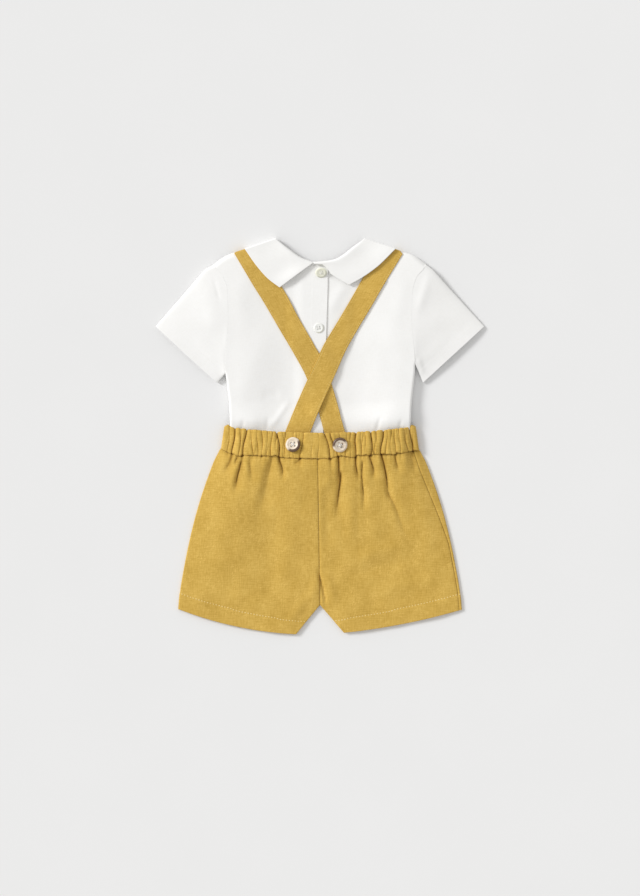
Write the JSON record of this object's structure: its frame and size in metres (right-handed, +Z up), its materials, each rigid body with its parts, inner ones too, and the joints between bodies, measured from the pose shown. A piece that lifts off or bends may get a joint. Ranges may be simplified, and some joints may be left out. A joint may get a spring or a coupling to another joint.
{
  "type": "suspender shorts set",
  "caption": "Baby's short-sleeved shirt with a flat collar and a buttoned back, tucked into gathered-waist shorts with crossed straps, laid flat with its back up.",
  "frame": {"origin": "centre of the bounding box at table height: middle of the garment, on the surface it lies on", "axes": "+Y from the hem of the shorts to the neck, +X to the right in the picture, +Z up from the table, out of the garment's back"},
  "size_m": [0.3656, 0.4357, 0.0193],
  "materials": {
    "white_poplin": "plain-woven white cotton poplin, matt",
    "mustard_linen": "mustard linen-look plain weave with slubs, matt",
    "shell_button": "pearly white resin, glossy",
    "horn_button": "mottled beige horn-look resin, satin"
  },
  "bodies": {
    "root": {"shirt_back_left": "white_poplin", "shirt_back_right": "white_poplin", "shirt_front": "white_poplin", "sleeve_left": "white_poplin", "sleeve_right": "white_poplin", "collar_left": "white_poplin", "collar_right": "white_poplin", "shirt_button_top": "shell_button", "shirt_button_low": "shell_button", "shorts_back_left": "mustard_linen", "shorts_back_right": "mustard_linen", "shorts_front_left": "mustard_linen", "shorts_front_right": "mustard_linen", "waistband_back": "mustard_linen", "waistband_front": "mustard_linen", "strap_left": "mustard_linen", "strap_right": "mustard_linen", "strap_button_left": "horn_button", "strap_button_right": "horn_button"}
  },
  "joints": []
}
